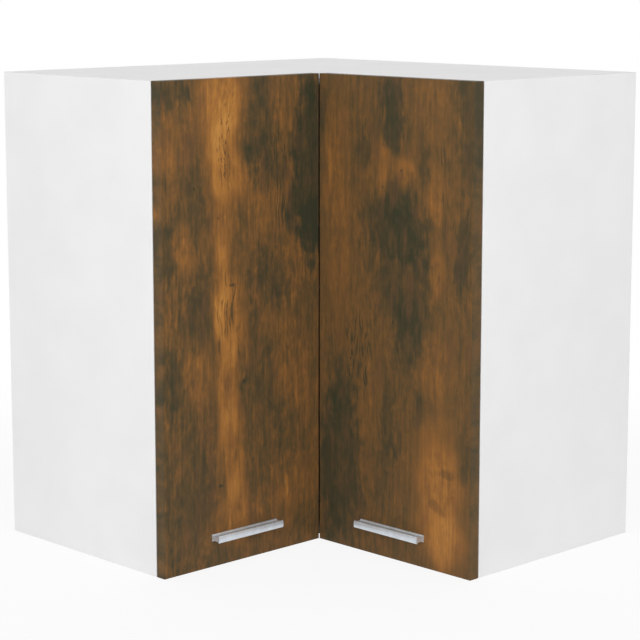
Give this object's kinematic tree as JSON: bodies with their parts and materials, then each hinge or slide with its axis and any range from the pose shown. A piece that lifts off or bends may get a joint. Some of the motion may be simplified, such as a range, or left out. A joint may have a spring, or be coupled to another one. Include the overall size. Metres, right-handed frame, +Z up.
{
  "type": "corner wall cabinet",
  "caption": "L-shaped kitchen wall cabinet for an inner corner, with a right-angled recess closed by hinged wood-decor doors that have short bar handles.",
  "frame": {"origin": "middle of the bounding box, on the cabinet's base", "axes": "+Z up; one wall stands at the lowest x, the other at the highest y, and the recess opens towards +x and -y"},
  "size_m": [0.57, 0.57, 0.6],
  "materials": {
    "white_board": "white melamine-faced board, satin",
    "back_sheet": "white-coated hardboard, matt",
    "wood_decor": "dark smoked-oak decor with vertical grain, satin",
    "handle_aluminium": "brushed, satin",
    "hinge_steel": "nickel-plated, satin",
    "screw_steel": "zinc-plated"
  },
  "bodies": {
    "carcass": {"bottom_panel": "white_board", "top_panel": "white_board", "shelf": "white_board", "corner_stile": "white_board", "corner_shelf_pin": "hinge_steel", "left_hanging_rail": "white_board", "right_hanging_rail": "white_board", "left_back_panel": "back_sheet", "right_back_panel": "back_sheet", "left_end_panel": "white_board", "left_lower_hinge_arm": "hinge_steel", "left_lower_hinge_plate": "hinge_steel", "left_lower_plate_screw_1": "screw_steel", "left_lower_plate_screw_2": "screw_steel", "left_upper_hinge_arm": "hinge_steel", "left_upper_hinge_plate": "hinge_steel", "left_upper_plate_screw_1": "screw_steel", "left_upper_plate_screw_2": "screw_steel", "left_shelf_pin_1": "hinge_steel", "left_shelf_pin_2": "hinge_steel", "right_end_panel": "white_board", "right_lower_hinge_arm": "hinge_steel", "right_lower_hinge_plate": "hinge_steel", "right_lower_plate_screw_1": "screw_steel", "right_lower_plate_screw_2": "screw_steel", "right_upper_hinge_arm": "hinge_steel", "right_upper_hinge_plate": "hinge_steel", "right_upper_plate_screw_1": "screw_steel", "right_upper_plate_screw_2": "screw_steel", "right_shelf_pin_1": "hinge_steel", "right_shelf_pin_2": "hinge_steel"},
    "left_door": {"left_door": "wood_decor", "left_handle": "handle_aluminium", "left_handle_screw_1": "screw_steel", "left_handle_screw_2": "screw_steel", "left_lower_hinge_cup": "hinge_steel", "left_lower_cup_screw_1": "screw_steel", "left_lower_cup_screw_2": "screw_steel", "left_upper_hinge_cup": "hinge_steel", "left_upper_cup_screw_1": "screw_steel", "left_upper_cup_screw_2": "screw_steel"},
    "left_outer_links": {"left_lower_outer_link": "hinge_steel", "left_upper_outer_link": "hinge_steel"},
    "left_inner_links": {"left_lower_inner_link": "hinge_steel", "left_upper_inner_link": "hinge_steel"},
    "right_door": {"right_door": "wood_decor", "right_handle": "handle_aluminium", "right_handle_screw_1": "screw_steel", "right_handle_screw_2": "screw_steel", "right_lower_hinge_cup": "hinge_steel", "right_lower_cup_screw_1": "screw_steel", "right_lower_cup_screw_2": "screw_steel", "right_upper_hinge_cup": "hinge_steel", "right_upper_cup_screw_1": "screw_steel", "right_upper_cup_screw_2": "screw_steel"},
    "right_outer_links": {"right_lower_outer_link": "hinge_steel", "right_upper_outer_link": "hinge_steel"},
    "right_inner_links": {"right_lower_inner_link": "hinge_steel", "right_upper_inner_link": "hinge_steel"}
  },
  "joints": [
    {"name": "left_outer_link_pivot", "type": "hinge", "parent": "carcass", "child": "left_outer_links", "pos_m": [-0.0048, -0.24375, 0.3], "axis": [0, 0, 1], "range_deg": [0, 26.6]},
    {"name": "left_inner_link_pivot", "type": "hinge", "parent": "carcass", "child": "left_inner_links", "pos_m": [0.0128, -0.26305, 0.3], "axis": [0, 0, 1], "range_deg": [0, 52.4]},
    {"name": "left_door_hinge", "type": "hinge", "parent": "left_outer_links", "child": "left_door", "pos_m": [0.01105, -0.2763, 0.3], "axis": [0, 0, -1], "range_deg": [0, 126.5]},
    {"name": "right_outer_link_pivot", "type": "hinge", "parent": "carcass", "child": "right_outer_links", "pos_m": [0.24375, 0.0048, 0.3], "axis": [0, 0, -1], "range_deg": [0, 26.6]},
    {"name": "right_inner_link_pivot", "type": "hinge", "parent": "carcass", "child": "right_inner_links", "pos_m": [0.26305, -0.0128, 0.3], "axis": [0, 0, -1], "range_deg": [0, 52.4]},
    {"name": "right_door_hinge", "type": "hinge", "parent": "right_outer_links", "child": "right_door", "pos_m": [0.2763, -0.01105, 0.3], "axis": [0, 0, 1], "range_deg": [0, 126.5]}
  ],
  "couplings": [
    {"joint": "left_outer_link_pivot", "follows": "left_door_hinge", "ratio": 0.20949},
    {"joint": "left_inner_link_pivot", "follows": "left_door_hinge", "ratio": 0.41344},
    {"joint": "right_outer_link_pivot", "follows": "right_door_hinge", "ratio": 0.20949},
    {"joint": "right_inner_link_pivot", "follows": "right_door_hinge", "ratio": 0.41344}
  ]
}
